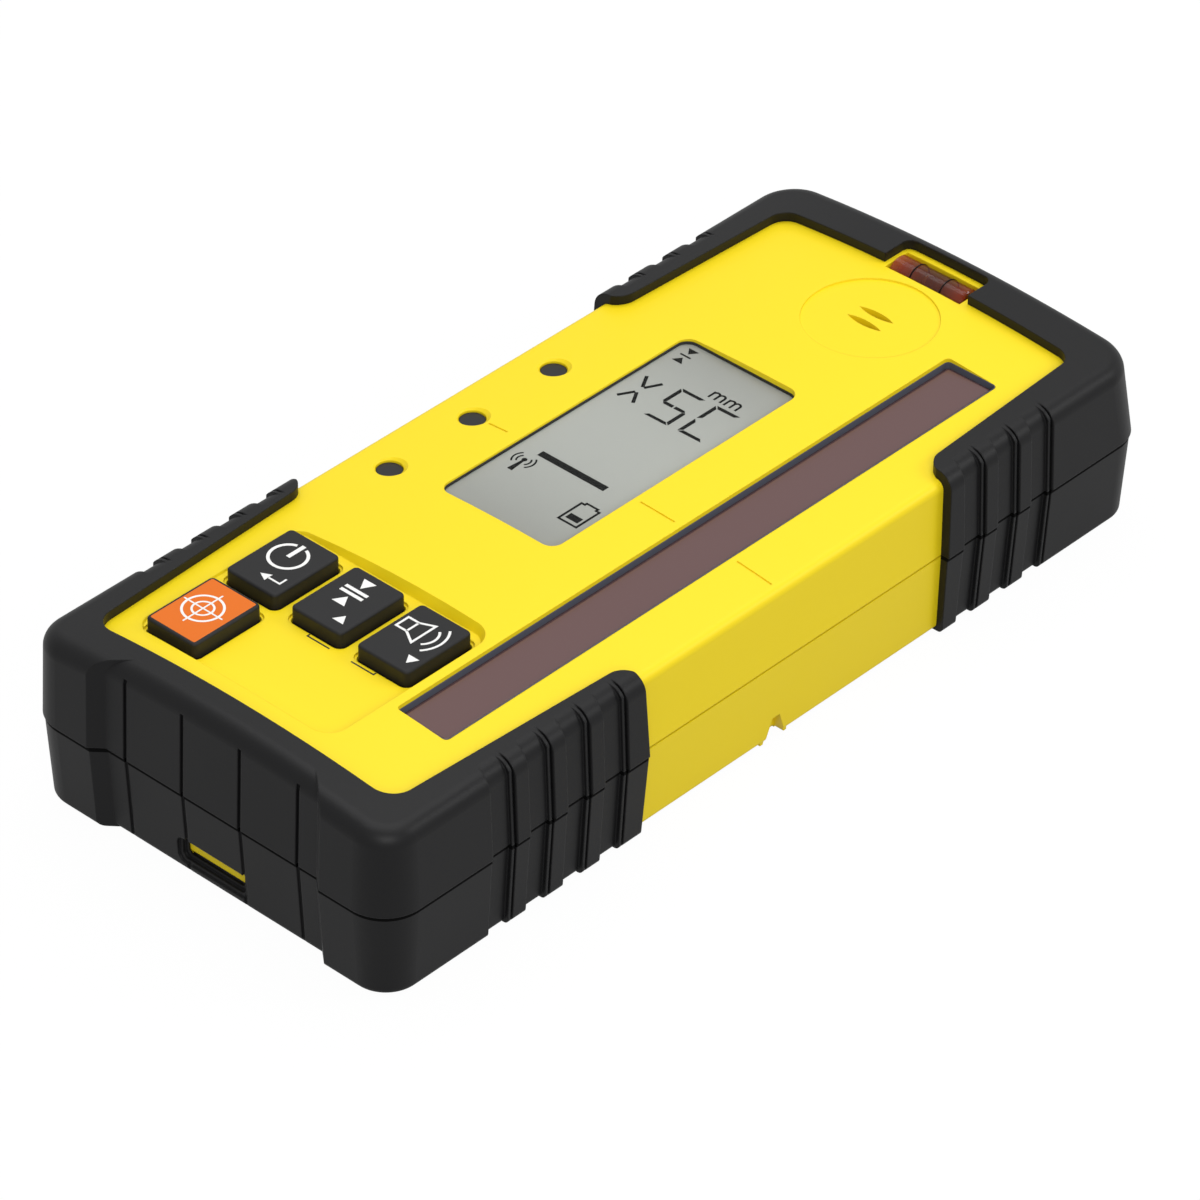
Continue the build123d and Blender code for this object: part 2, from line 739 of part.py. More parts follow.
def bare_middle():
    """The stretch between the arms, where the yellow casing shows."""
    top = bumper_crest_z + 1
    outline = Polyline(
        (lower_arm_end_y, parting_z), (lower_arm_end_y - arm_face_lean, top),
        (upper_arm_end_y + arm_face_lean, top), (upper_arm_end_y, parting_z),
        (upper_arm_end_y + arm_back_lean, -1), (lower_arm_end_y - arm_back_lean, -1), close=True)
    return extrude(Plane.YZ * make_face(outline), overall_width, both=True)


def arm_opening(low_y, high_y, low_half, high_half, arm_low_half, arm_high_half, z0, z1):
    """Window in the rubber over the face or the back, rounded at the arms' tips."""
    side = half_width + 4
    rise = (max(z0, parting_z) - parting_z) / (bumper_crest_z + 1 - parting_z)
    low_tip = lower_arm_end_y - arm_face_lean * rise
    high_tip = upper_arm_end_y + arm_face_lean * rise
    right = [
        (low_half, low_y), (arm_low_half, low_tip), (side, low_tip), (side, high_tip),
        (arm_high_half, high_tip), (high_half, high_y)]
    left = [(-x, y) for x, y in reversed(right)]
    outline = make_face(Polyline(*right, *left, close=True))
    tips = [v for v in outline.vertices() if abs(v.X) < side - 1 and low_y + 1 < v.Y < high_y - 1]
    outline = fillet(tips, arm_tip_radius)
    outline = fillet([v for v in outline.vertices() if abs(v.Y - low_y) < 0.1], 4.0)
    outline = fillet([v for v in outline.vertices() if abs(v.Y - high_y) < 0.1], 3.0)
    return extrude(Plane.XY.offset(z0) * outline, z1 - z0)


def finger_scoop():
    """Terraced recess in the lower end of the back rubber, and the gap through to the latch."""
    end_y = -half_length - 1
    face_y = -(half_length - panel_recess - back_step)
    face_y += (parting_z - scoop_high_z) * panel_back_lean
    steps = []
    for i in range(3):
        inset = i * scoop_step
        depth = (i + 1) * scoop_step_depth if i < 2 else 4.0
        half = scoop_half_width - inset
        low, high = scoop_low_z + inset, scoop_high_z
        outline = Plane.XZ.offset(-end_y) * Pos(scoop_x, (low + high) / 2) * RectangleRounded(
            2 * half, high - low, 1.4 - 0.3 * i)
        steps.append(extrude(outline, -(face_y + depth - end_y)))
    return steps[0] + steps[1] + steps[2]


def bumper_halves(towards_face):
    """The upper and the lower bumper's rubber on one side of the parting."""
    rubber = rubber_envelope(towards_face)
    rubber = cut_teeth(rubber, towards_face)
    rubber = cut_end_grooves(rubber, towards_face)
    rubber -= bare_middle()
    if towards_face:
        rubber -= casing_face
        rubber -= arm_opening(
            -half_length + opening_low_margin, half_length - opening_high_margin,
            half_width - opening_low_side, half_width - opening_high_side,
            half_width - opening_arm_low_side, half_width - opening_arm_high_side,
            face_crest_z - 6, reach)
        rubber -= rounded_prism(
            0, vial_notch_y - 5, 2 * vial_notch_half, 10, 1.6, face_crest_z - 6, reach)
        rubber -= below(parting_z + bumper_gap / 2)
    else:
        rubber -= casing_back
        half = half_width - back_opening_side
        rubber -= arm_opening(
            -half_length + back_opening_low_margin, half_length - back_opening_high_margin,
            half, half, half + 2, half + 2, -1, casing_back_z + 0.5)
        rubber -= above(parting_z - bumper_gap / 2)
        for x, y in screw_places():
            rubber -= post(x, y, screw_head_radius + 0.9, -1, casing_back_z + 0.5)
        rubber -= finger_scoop()
        half = scoop_half_width - 2 * scoop_step + latch_gap
        casing_end = casing_length / 2 - (parting_z - casing_back_z) * casing_back_lean
        rubber -= box_between(
            scoop_x - half, scoop_x + half, -casing_end, 0, -1, latch_top_z)
    pieces = rubber.solids().sort_by(SortBy.VOLUME)[-2:]
    lower, upper = sorted(pieces, key=lambda piece: piece.center().Y)
    return upper, lower


def display_window():
    return pane_opening(
        display_x, display_y, display_width, display_height, display_corner,
        display_top_z - pane_thickness, display_top_z, fit_gap)


def display_panel():
    """Liquid-crystal cell: the glass fills the opening, its wider base lies inside the face."""
    shoulder = inner_crest_z - 0.8
    cell = pane_opening(
        display_x, display_y, display_width, display_height, display_corner,
        shoulder, display_top_z - pane_thickness - pane_air, fit_gap)
    cell += rounded_prism(
        display_x, display_y, display_width + 4, display_height + 4, 0.8, shoulder - 1.8, shoulder)
    return cell


def display_frame():
    low = board_top_z
    high = inner_crest_z - 2.6
    outer = rounded_prism(
        display_x, display_y, display_width + 4, display_height + 4, 0.8, low, high)
    return outer - rounded_prism(
        display_x, display_y, display_width + 1.6, display_height + 1.6, 0.5, low, high)


def display_connectors():
    low = board_top_z
    high = inner_crest_z - 2.6
    bars = []
    for side in (-1, 1):
        y = display_y + side * (display_height / 2 - 1.2)
        bars.append(box_between(
            display_x - display_width / 2 + 1, display_x + display_width / 2 - 1,
            y - 1.1, y + 1.1, low, high))
    return bars


def receiving_window():
    """Tinted filter with a bevelled edge, seated on a ledge in its slot."""
    pane = pane_opening(
        window_x, on_grade_y, window_width, window_length, 0.8,
        window_low_z, window_top_z - window_bevel_drop, fit_gap)
    foot = Plane.XY.offset(window_top_z - window_bevel_drop) * Pos(
        window_x, on_grade_y) * RectangleRounded(
        window_width - 2 * fit_gap, window_length - 2 * fit_gap, 0.7)
    crest = Plane.XY.offset(window_top_z) * Pos(window_x, on_grade_y) * RectangleRounded(
        window_width - 2 * window_bevel, window_length - 2 * window_bevel, 0.3)
    return pane + loft([foot, crest], ruled=True)


def sensor_board():
    width = window_width + 2 * pocket_wall - 0.4
    length = window_length + 11.0
    board = box_between(
        window_x - width / 2, window_x + width / 2, on_grade_y - length / 2,
        on_grade_y + length / 2, sensor_board_top_z - board_thickness, sensor_board_top_z)
    for x, y in screw_places():
        board -= post(x, y, boss_radius + 0.4, board_bottom_z, reach)
    for x, y in sensor_board_screws():
        board -= post(x, y, board_screw_radius + 0.1, 0, reach)
    return board


def photodiodes():
    count = 16
    pitch = (window_length - 8) / (count - 1)
    return [Pos(window_x, on_grade_y + (i - (count - 1) / 2) * pitch, sensor_board_top_z + 0.45)
            * Box(5.2, 4.4, 0.9) for i in range(count)]


def led_lenses():
    lenses = []
    for x, y in led_places():
        under = crown_z(x, inner_crest_z) - 0.25
        lens = post(x, y, led_radius, under - 0.8, crown_z(x) - led_recess)
        lens += post(x, y, led_radius + 0.7, under - 0.8, under - 0.05)
        lenses.append(lens)
    return lenses


def leds():
    return [Pos(x, y, board_top_z + 0.95) * Box(2.8, 3.5, 1.9) for x, y in led_places()]


def level_vial():
    half = vial_length / 2
    tube = rod_along_x(-half, half, vial_y, vial_z, vial_radius)
    tube = chamfer(tube.edges().filter_by(GeomType.CIRCLE), 0.35)
    bore_half = half - 1.4
    return tube - rod_along_x(-bore_half, bore_half, vial_y, vial_z, vial_radius - vial_wall)


def vial_bubble():
    """Bubble against the top of the bore, a little longer than it is wide."""
    radius = 1.15
    bubble = Pos(0, vial_y, vial_z + vial_radius - vial_wall - radius - 0.05) * (
        Cylinder(radius, 1.6, rotation=(0, 90, 0))
        + Pos(-0.8, 0, 0) * Sphere(radius) + Pos(0.8, 0, 0) * Sphere(radius))
    return bubble


def vial_liquid():
    bore_half = vial_length / 2 - 1.4
    liquid = rod_along_x(-bore_half, bore_half, vial_y, vial_z, vial_radius - vial_wall)
    return liquid - vial_bubble()


def vial_rings():
    rings = []
    for side in (-1, 1):
        x = side * vial_ring_x
        ring = rod_along_x(x - vial_ring_width / 2, x + vial_ring_width / 2,
                           vial_y, vial_z, vial_radius + 0.08)
        rings.append(ring - rod_along_x(-20, 20, vial_y, vial_z, vial_radius))
    return rings


def buzzer():
    body = post(0, sound_y, 8.5, board_top_z, board_top_z + 4.2)
    return body - post(0, sound_y, 1.2, board_top_z + 3.4, board_top_z + 5)


def sound_membrane():
    top = inner_crest_z - 0.12
    return post(0, sound_y, 6.0, top - 0.3, top)


def main_board():
    outline = box_between(
        board_left_x, keypad_right_x, board_low_y, board_high_y, board_bottom_z, board_top_z)
    for x, y in screw_places():
        outline -= post(x, y, boss_radius + 0.4, 0, reach)
    for x, y in main_board_screws():
        outline -= post(x, y, board_screw_radius + 0.1, 0, reach)
    return outline


def board_chips():
    """Processor, memory and amplifier on the board's face, clear of the keypad and display."""
    places = [
        (board_left_x + 6.1, display_y + 27.5, 7.0, 7.0),
        (board_left_x + 6.1, keypad_high_y + 14.5, 5.0, 5.0),
        (board_left_x + 14.6, sound_y + 4.0, 8.0, 6.0)]
    return [Pos(x, y, board_top_z + 0.6) * Box(w, h, 1.2) for x, y, w, h in places]


def board_screws():
    screws = []
    for x, y in main_board_screws():
        shank = post(x, y, board_screw_radius, board_bottom_z, board_top_z + 3)
        screws.append(shank + post(x, y, 1.9, board_bottom_z - 1.1, board_bottom_z))
    low = sensor_board_top_z - board_thickness
    for x, y in sensor_board_screws():
        shank = post(x, y, board_screw_radius, low, sensor_board_top_z + 2)
        screws.append(shank + post(x, y, 1.9, low - 1.1, low))
    return screws


def keycap(x, y):
    """Cap with a rounded top edge, a retaining flange under the face and a short plunger."""
    flange_top = keypad_floor_z - keypad_floor_thickness - 0.2
    flange_low = flange_top - key_flange_thickness
    cap = rounded_prism(x, y, key_width, key_height, key_corner, flange_low, key_top_z)
    cap = fillet(cap.faces().sort_by(Axis.Z)[-1].edges(), key_edge)
    cap += rounded_prism(
        x, y, key_width + 2 * key_flange, key_height + 2 * key_flange * 0.9, 1.2,
        flange_low, flange_top)
    return cap + post(x, y, 2.4, mat_top_z + key_travel + 0.05, flange_low)


def capture_inlay():
    x, y = key_places()[3]
    return rounded_prism(
        x, y, key_width - 2 * key_edge - 2 * inlay_margin + 0.5,
        key_height - 2 * key_edge - 2 * inlay_margin + 0.5, 0.3,
        key_top_z - inlay_depth, key_top_z)


def keypad_mat():
    low = board_top_z + dome_height + 0.05
    left = keypad_left_x + 0.3
    right = keypad_right_x - 0.6
    top = keypad_high_y - 0.3
    bottom = keypad_low_y + 0.6
    mat = box_between(left, right, bottom, top, low, low + mat_thickness)
    rim = box_between(left, right, bottom, top, board_top_z, low)
    return mat + (rim - box_between(left + 1, right - 1, bottom + 1, top - 1, board_top_z, low))


def key_domes():
    """Snap domes on the board, one under each key."""
    domes = []
    for x, y in key_places():
        dome = Pos(x, y, board_top_z) * Cone(3.0, 1.6, dome_height, align=(
            Align.CENTER, Align.CENTER, Align.MIN))
        domes.append(dome)
    return domes


def battery_cell(side):
    """One AA cell; the left one's nub points to the vial end, the right one's away from it."""
    x = side * cell_pitch / 2
    body_length = cell_length - nub_height
    if side < 0:
        nub_y, way = bay_end_y - contact_thickness, -1
    else:
        nub_y, way = bay_low_y + contact_thickness, 1
    shoulder = nub_y + way * nub_height
    far = shoulder + way * body_length
    body = Pos(x, (shoulder + far) / 2, cell_z) * Rot(90, 0, 0) * Cylinder(cell_radius, body_length)
    body = chamfer(body.edges().filter_by(GeomType.CIRCLE), 0.5)
    nub = Pos(x, (nub_y + shoulder) / 2, cell_z) * Rot(90, 0, 0) * Cylinder(nub_radius, nub_height)
    return body + nub


def contact_plates():
    return [box_between(
        side * cell_pitch / 2 - 5, side * cell_pitch / 2 + 5, bay_end_y - contact_thickness,
        bay_end_y, cell_z - 5, cell_z + 5) for side in (-1, 1)]


def contact_strap():
    """Plate that joins the two cells at the latch end, with a round pad behind each."""
    low, high = bay_low_y, bay_low_y + contact_thickness
    strap = box_between(-cell_pitch / 2, cell_pitch / 2, low, high, cell_z - 5, cell_z - 0.5)
    for side in (-1, 1):
        strap += Pos(side * cell_pitch / 2, (low + high) / 2, cell_z) * Rot(90, 0, 0) * Cylinder(
            5, contact_thickness)
    return strap


def contact_springs():
    """Bowed leaf springs that press on the flat end of each cell."""
    springs = []
    for side in (-1, 1):
        x = side * cell_pitch / 2
        if side < 0:
            base_y, way = bay_low_y + contact_thickness, 1
        else:
            base_y, way = bay_end_y - contact_thickness, -1
        tip = base_y + way * spring_length
        inner = tip - way * contact_thickness
        outer_bow = ThreePointArc((base_y, cell_z - 4.4), (tip, cell_z), (base_y, cell_z + 4.4))
        inner_bow = ThreePointArc((base_y, cell_z + 3.9), (inner, cell_z), (base_y, cell_z - 3.9))
        outline = outer_bow + Line((base_y, cell_z + 4.4), (base_y, cell_z + 3.9))
        outline += inner_bow + Line((base_y, cell_z - 3.9), (base_y, cell_z - 4.4))
        springs.append(extrude(Plane.YZ.offset(x - 3) * make_face(outline), 6))
    return springs


def hinge_pin(play=0.0):
    reach_x = hinge_barrel_half + hinge_gap + hinge_lug_length - 0.4
    return rod_along_x(-reach_x, reach_x, hinge_y, hinge_z, hinge_pin_radius + play)


def battery_door():
    """Lid with a hinge barrel at one end and the latch block at the other."""
    low, high, near = door_low_z, door_high_z, door_near_y
    plate = rounded_prism(
        0, (door_end_y + near) / 2, 2 * door_half_width, near - door_end_y, door_corner, low, high)
    barrel = rod_along_x(
        -hinge_barrel_half, hinge_barrel_half, hinge_y, hinge_z, hinge_barrel_radius)
    plate += box_between(-hinge_barrel_half, hinge_barrel_half, near - 0.5, hinge_y, low + 0.4, high)
    plate += barrel
    plate -= hinge_pin(hinge_play)
    half = scoop_half_width - 2 * scoop_step
    latch_y = -(casing_length / 2 - (parting_z - casing_back_z) * casing_back_lean)
    latch_y += latch_gap + 0.1
    latch = box_between(
        scoop_x - half, scoop_x + half, latch_y, door_end_y + 0.3, low, latch_top_z)
    plate += chamfer(latch.edges().filter_by(Axis.X).sort_by(Axis.Z)[-2:].sort_by(Axis.Y)[0], 0.8)
    # grip ridges across the lid near the latch
    for i in range(5):
        plate -= box_between(
            -9, 9, door_end_y + 4 + 1.8 * i, door_end_y + 4.8 + 1.8 * i, low - 1, low + 0.4)
    return plate


def door_seal():
    low = door_high_z
    inner_w = 2 * bay_half_width + 0.4
    inner_l = bay_length + 0.4
    middle = (bay_low_y + bay_end_y) / 2
    ring = rounded_prism(0, middle, inner_w + 2 * seal_width, inner_l + 2 * seal_width, 1.5,
                         low, low + door_ledge - door_set)
    return ring - rounded_prism(0, middle, inner_w, inner_l, 0.6, low, low + door_ledge)


def casing_screws():
    screws = []
    for x, y in screw_places():
        shank = post(x, y, screw_radius, screw_seat_z, parting_z + screw_bite)
        head = post(x, y, screw_head_radius, screw_seat_z - screw_head_height, screw_seat_z)
        socket = extrude(
            Plane.XY.offset(screw_seat_z - screw_head_height) * Pos(x, y)
            * RegularPolygon(1.25, 6), 1.4)
        screws.append(shank + head - socket)
    return screws


def clamp_insert():
    sleeve = post(0, clamp_y, insert_radius, casing_back_z, casing_back_z + insert_length)
    return sleeve - post(0, clamp_y, thread_core_radius, -1, casing_back_z + insert_length)


upper_front, lower_front = bumper_halves(True)
upper_back, lower_back = bumper_halves(False)
key_names = ("key_power", "key_accuracy", "key_volume", "key_capture")
keys = {name: keycap(x, y) for name, (x, y) in zip(key_names, key_places())}
keys["key_capture"] -= capture_inlay()

nodes = {
    "front_shell": front_shell(),
    "back_shell": back_shell(),
    "casing_gasket": casing_gasket(),
    "upper_bumper_front": upper_front,
    "upper_bumper_back": upper_back,
    "lower_bumper_front": lower_front,
    "lower_bumper_back": lower_back,
    "display_window": display_window(),
    "display_panel": display_panel(),
    "display_frame": display_frame(),
    "display_connectors": display_connectors(),
    "receiving_window": receiving_window(),
    "sensor_board": sensor_board(),
    "photodiodes": photodiodes(),
    "led_lenses": led_lenses(),
    "leds": leds(),
    "level_vial": level_vial(),
    "vial_liquid": vial_liquid(),
    "vial_bubble": vial_bubble(),
    "vial_rings": vial_rings(),
    "buzzer": buzzer(),
    "sound_membrane": sound_membrane(),
    "main_board": main_board(),
    "board_chips": board_chips(),
    "board_screws": board_screws(),
    "capture_inlay": capture_inlay(),
    "keypad_mat": keypad_mat(),
    "key_domes": key_domes(),
    "battery_left": battery_cell(-1),
    "battery_right": battery_cell(1),
    "contact_plates": contact_plates(),
    "contact_strap": contact_strap(),
    "contact_springs": contact_springs(),
    "battery_door": battery_door(),
    "door_seal": door_seal(),
    "hinge_pin": hinge_pin(),
    "casing_screws": casing_screws(),
    "clamp_insert": clamp_insert(),
    **keys,
}

os.makedirs("parts", exist_ok=True)
for name, shape in nodes.items():
    if isinstance(shape, list):
        shape = Compound(children=[solid for piece in shape for solid in piece.solids()])
    elif len(shape.solids()) == 1:
        shape = shape.solids()[0]
    shape.label = name
    export_step(shape, f"parts/{name}.step")
    print(name, len(shape.solids()), round(shape.volume, 1))
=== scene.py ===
from math import cos, pi, radians, sin

import bmesh
import bpy
from mathutils import Matrix, Vector


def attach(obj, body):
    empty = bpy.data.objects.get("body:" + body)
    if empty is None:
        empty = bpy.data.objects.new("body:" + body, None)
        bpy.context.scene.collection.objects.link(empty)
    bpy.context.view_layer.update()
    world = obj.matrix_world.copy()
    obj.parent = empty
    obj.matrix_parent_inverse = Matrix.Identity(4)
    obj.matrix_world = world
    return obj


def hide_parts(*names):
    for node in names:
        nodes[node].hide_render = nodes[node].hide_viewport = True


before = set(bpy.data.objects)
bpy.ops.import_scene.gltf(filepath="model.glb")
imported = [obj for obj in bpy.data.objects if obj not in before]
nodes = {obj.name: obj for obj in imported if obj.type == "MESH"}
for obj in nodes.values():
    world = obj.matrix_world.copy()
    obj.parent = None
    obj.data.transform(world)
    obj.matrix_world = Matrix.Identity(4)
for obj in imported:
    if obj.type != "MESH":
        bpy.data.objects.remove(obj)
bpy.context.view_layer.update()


# The studio: a camera with a long lens at the photograph's place, looking down on the lower right
# corner, over a pale floor that turns white for the camera and still takes the object's shadow.
# Seen from below the floor is clear, so that the back and the battery bay can be looked at.
camera_place = Vector((0.573207, -0.622917, 0.641947))
camera_right = Vector((0.73182737, 0.68145028, 0.00736338))
camera_up = Vector((-0.4126775, 0.43453493, 0.80054773))
camera_back = Vector((0.54233383, -0.58890145, 0.59922375))

camera_data = bpy.data.cameras.new("studio_camera")
camera_data.sensor_width = 36
camera_data.lens = 204.95
camera_data.clip_start = 0.05
camera_data.clip_end = 20
camera = bpy.data.objects.new("studio_camera", camera_data)
bpy.context.collection.objects.link(camera)
turn = Matrix((camera_right, camera_up, camera_back)).transposed().to_4x4()
camera.matrix_world = Matrix.Translation(camera_place) @ turn
bpy.context.scene.camera = camera
bpy.context.scene.view_settings.view_transform = "Standard"


def link(tree, source, target):
    tree.links.new(source, target)


def seen_directly(tree):
    """How far a ray should meet a plain white backdrop: wholly for the camera and through glass,
    and half way in reflections, so that dark rubber doesn't turn grey."""
    path = tree.nodes.new("ShaderNodeLightPath")
    mirrored = tree.nodes.new("ShaderNodeMath")
    mirrored.operation = "MULTIPLY"
    mirrored.inputs[1].default_value = 0.5
    through = tree.nodes.new("ShaderNodeMath")
    through.operation = "MAXIMUM"
    seen = tree.nodes.new("ShaderNodeMath")
    seen.operation = "MAXIMUM"
    link(tree, path.outputs["Is Glossy Ray"], mirrored.inputs[0])
    link(tree, path.outputs["Is Camera Ray"], through.inputs[0])
    link(tree, path.outputs["Is Transmission Ray"], through.inputs[1])
    link(tree, mirrored.outputs[0], seen.inputs[0])
    link(tree, through.outputs[0], seen.inputs[1])
    return seen


floor_mesh = bpy.data.meshes.new("floor")
floor_shape = bmesh.new()
bmesh.ops.create_grid(floor_shape, x_segments=1, y_segments=1, size=4)
bmesh.ops.translate(floor_shape, verts=floor_shape.verts, vec=(0, 0, -0.0002))
floor_shape.to_mesh(floor_mesh)
floor_shape.free()
floor = bpy.data.objects.new("floor", floor_mesh)
bpy.context.collection.objects.link(floor)

paper = bpy.data.materials.new("white paper")
paper.use_nodes = True
tree = paper.node_tree
tree.nodes.clear()
paper_out = tree.nodes.new("ShaderNodeOutputMaterial")
paper_lit = tree.nodes.new("ShaderNodeBsdfDiffuse")
paper_lit.inputs["Color"].default_value = (0.35, 0.35, 0.35, 1)
paper_glow = tree.nodes.new("ShaderNodeEmission")
paper_glow.inputs["Strength"].default_value = 1.075
paper_mix = tree.nodes.new("ShaderNodeMixShader")
directly = seen_directly(tree)
share = tree.nodes.new("ShaderNodeMath")
share.operation = "MULTIPLY"
share.inputs[1].default_value = 0.9
link(tree, directly.outputs[0], share.inputs[0])
link(tree, share.outputs[0], paper_mix.inputs["Fac"])
link(tree, paper_lit.outputs[0], paper_mix.inputs[1])
link(tree, paper_glow.outputs[0], paper_mix.inputs[2])
paper_clear = tree.nodes.new("ShaderNodeBsdfTransparent")
paper_side = tree.nodes.new("ShaderNodeNewGeometry")
paper_sheet = tree.nodes.new("ShaderNodeMixShader")
link(tree, paper_side.outputs["Backfacing"], paper_sheet.inputs["Fac"])
link(tree, paper_mix.outputs[0], paper_sheet.inputs[1])
link(tree, paper_clear.outputs[0], paper_sheet.inputs[2])
link(tree, paper_sheet.outputs[0], paper_out.inputs["Surface"])
floor_mesh.materials.append(paper)

world = bpy.data.worlds.new("studio")
bpy.context.scene.world = world
world.use_nodes = True
tree = world.node_tree
tree.nodes.clear()
sky_out = tree.nodes.new("ShaderNodeOutputWorld")
sky_soft = tree.nodes.new("ShaderNodeBackground")
sky_soft.inputs["Color"].default_value = (1, 1, 1, 1)
sky_soft.inputs["Strength"].default_value = 0.42
sky_white = tree.nodes.new("ShaderNodeBackground")
sky_white.inputs["Color"].default_value = (1, 1, 1, 1)
sky_white.inputs["Strength"].default_value = 1
sky_mix = tree.nodes.new("ShaderNodeMixShader")
directly = seen_directly(tree)
link(tree, directly.outputs[0], sky_mix.inputs["Fac"])
link(tree, sky_soft.outputs[0], sky_mix.inputs[1])
link(tree, sky_white.outputs[0], sky_mix.inputs[2])
link(tree, sky_mix.outputs[0], sky_out.inputs["Surface"])


def softbox(name, place, aim, width, height, watts):
    lamp_data = bpy.data.lights.new(name, "AREA")
    lamp_data.shape = "RECTANGLE"
    lamp_data.size = width
    lamp_data.size_y = height
    lamp_data.energy = watts
    lamp = bpy.data.objects.new(name, lamp_data)
    bpy.context.collection.objects.link(lamp)
    lamp.location = place
    lamp.rotation_euler = (Vector(aim) - Vector(place)).to_track_quat("-Z", "Y").to_euler()


softbox("overhead softbox", (-0.15, 0.25, 1.3), (0, 0, 0), 1.3, 1.3, 10.8)
softbox("right fill", (1.2, -0.9, 0.9), (0, 0, 0), 0.9, 0.7, 10.5)
softbox("rear edge light", (0.95, 0.95, 0.85), (0, 0, 0), 0.5, 0.5, 4)


# Effects that several finishes share: a moulded grain for plastics and rubbers, and a slow
# unevenness of colour and gloss, both in the object's own coordinates.
def effect_group(name, inputs, outputs):
    group = bpy.data.node_groups.new(name, "ShaderNodeTree")
    for label, value in inputs:
        socket = group.interface.new_socket(label, in_out="INPUT", socket_type="NodeSocketFloat")
        socket.default_value = value
    for label, kind in outputs:
        group.interface.new_socket(label, in_out="OUTPUT", socket_type=kind)
    return group, group.nodes.new("NodeGroupInput"), group.nodes.new("NodeGroupOutput")


grain_group, grain_in, grain_out = effect_group(
    "moulded grain", [("Scale", 4000.0), ("Unevenness", 0.1)],
    [("Height", "NodeSocketFloat"), ("Mottle", "NodeSocketFloat")])
coords = grain_group.nodes.new("ShaderNodeTexCoord")
fine = grain_group.nodes.new("ShaderNodeTexNoise")
fine.inputs["Detail"].default_value = 3
slow = grain_group.nodes.new("ShaderNodeTexNoise")
slow.inputs["Scale"].default_value = 45
slow.inputs["Detail"].default_value = 2
centred = grain_group.nodes.new("ShaderNodeMath")
centred.operation = "SUBTRACT"
centred.inputs[1].default_value = 0.5
scaled = grain_group.nodes.new("ShaderNodeMath")
scaled.operation = "MULTIPLY"
link(grain_group, coords.outputs["Object"], fine.inputs["Vector"])
link(grain_group, coords.outputs["Object"], slow.inputs["Vector"])
link(grain_group, grain_in.outputs["Scale"], fine.inputs["Scale"])
link(grain_group, fine.outputs["Fac"], grain_out.inputs["Height"])
link(grain_group, slow.outputs["Fac"], centred.inputs[0])
link(grain_group, centred.outputs[0], scaled.inputs[0])
link(grain_group, grain_in.outputs["Unevenness"], scaled.inputs[1])
link(grain_group, scaled.outputs[0], grain_out.inputs["Mottle"])


def srgb(red, green, blue):
    """A colour as it is read from a picture, 0 to 255, made linear."""
    def linear(value):
        value = value / 255
        return value / 12.92 if value <= 0.04045 else ((value + 0.055) / 1.055) ** 2.4
    return (linear(red), linear(green), linear(blue), 1)


def moulded(name, color, roughness, grain=4000, bump=0.02, unevenness=0.12, specular=0.5,
            edge=0.15):
    """A moulded plastic or rubber: fine grain, softened edges, slow changes in gloss and shade."""
    material = bpy.data.materials.new(name)
    material.use_nodes = True
    tree = material.node_tree
    shader = tree.nodes["Principled BSDF"]
    shader.inputs["Specular IOR Level"].default_value = specular
    effect = tree.nodes.new("ShaderNodeGroup")
    effect.node_tree = grain_group
    effect.inputs["Scale"].default_value = grain
    effect.inputs["Unevenness"].default_value = unevenness
    shade = tree.nodes.new("ShaderNodeMix")
    shade.data_type = "RGBA"
    shade.inputs["A"].default_value = color
    shade.inputs["B"].default_value = (color[0] * 0.8, color[1] * 0.8, color[2] * 0.8, 1)
    gloss = tree.nodes.new("ShaderNodeMath")
    gloss.operation = "ADD"
    gloss.inputs[1].default_value = roughness
    rounded = tree.nodes.new("ShaderNodeBevel")
    rounded.samples = 4
    rounded.inputs["Radius"].default_value = edge / 1000
    relief = tree.nodes.new("ShaderNodeBump")
    relief.inputs["Strength"].default_value = 1
    relief.inputs["Distance"].default_value = bump / 1000
    link(tree, effect.outputs["Mottle"], shade.inputs["Factor"])
    link(tree, shade.outputs["Result"], shader.inputs["Base Color"])
    link(tree, effect.outputs["Mottle"], gloss.inputs[0])
    link(tree, gloss.outputs[0], shader.inputs["Roughness"])
    link(tree, rounded.outputs["Normal"], relief.inputs["Normal"])
    link(tree, effect.outputs["Height"], relief.inputs["Height"])
    link(tree, relief.outputs["Normal"], shader.inputs["Normal"])
    return material


def wear(node, material):
    """Gives a frame node its finish."""
    mesh = nodes[node].data
    mesh.materials.clear()
    mesh.materials.append(material)


# Casing: two shells of yellow moulded plastic with a satin, very finely grained skin, closed on
# a dark gasket at the parting.
yellow = moulded(
    "yellow casing plastic", srgb(250, 222, 24), 0.42, 5000, 0.006, 0.05, 0.3, 0.2)
wear("front_shell", yellow)
wear("back_shell", yellow)
wear("casing_gasket", moulded("gasket rubber", srgb(40, 38, 25), 0.6))


# Bumpers: four pieces of black rubber, two on each end, slipped over the casing.
rubber = moulded("bumper rubber", srgb(22, 22, 23), 0.42, 3500, 0.012, 0.1, 0.2, 0.35)
for piece in ("upper_bumper_front", "upper_bumper_back",
              "lower_bumper_front", "lower_bumper_back"):
    wear(piece, rubber)

# The black line at each bumper's parting is painted shade: a black strip set into the gap between
# the two halves, where the real gap is only deep and dark.
gap_shade_black = moulded("painted gap shade", srgb(8, 8, 8), 0.8, 6000, 0.0, 0.05, 0.05)
parting_proud = 0.2
parting_overlap = 0.3
parting_height = 0.71


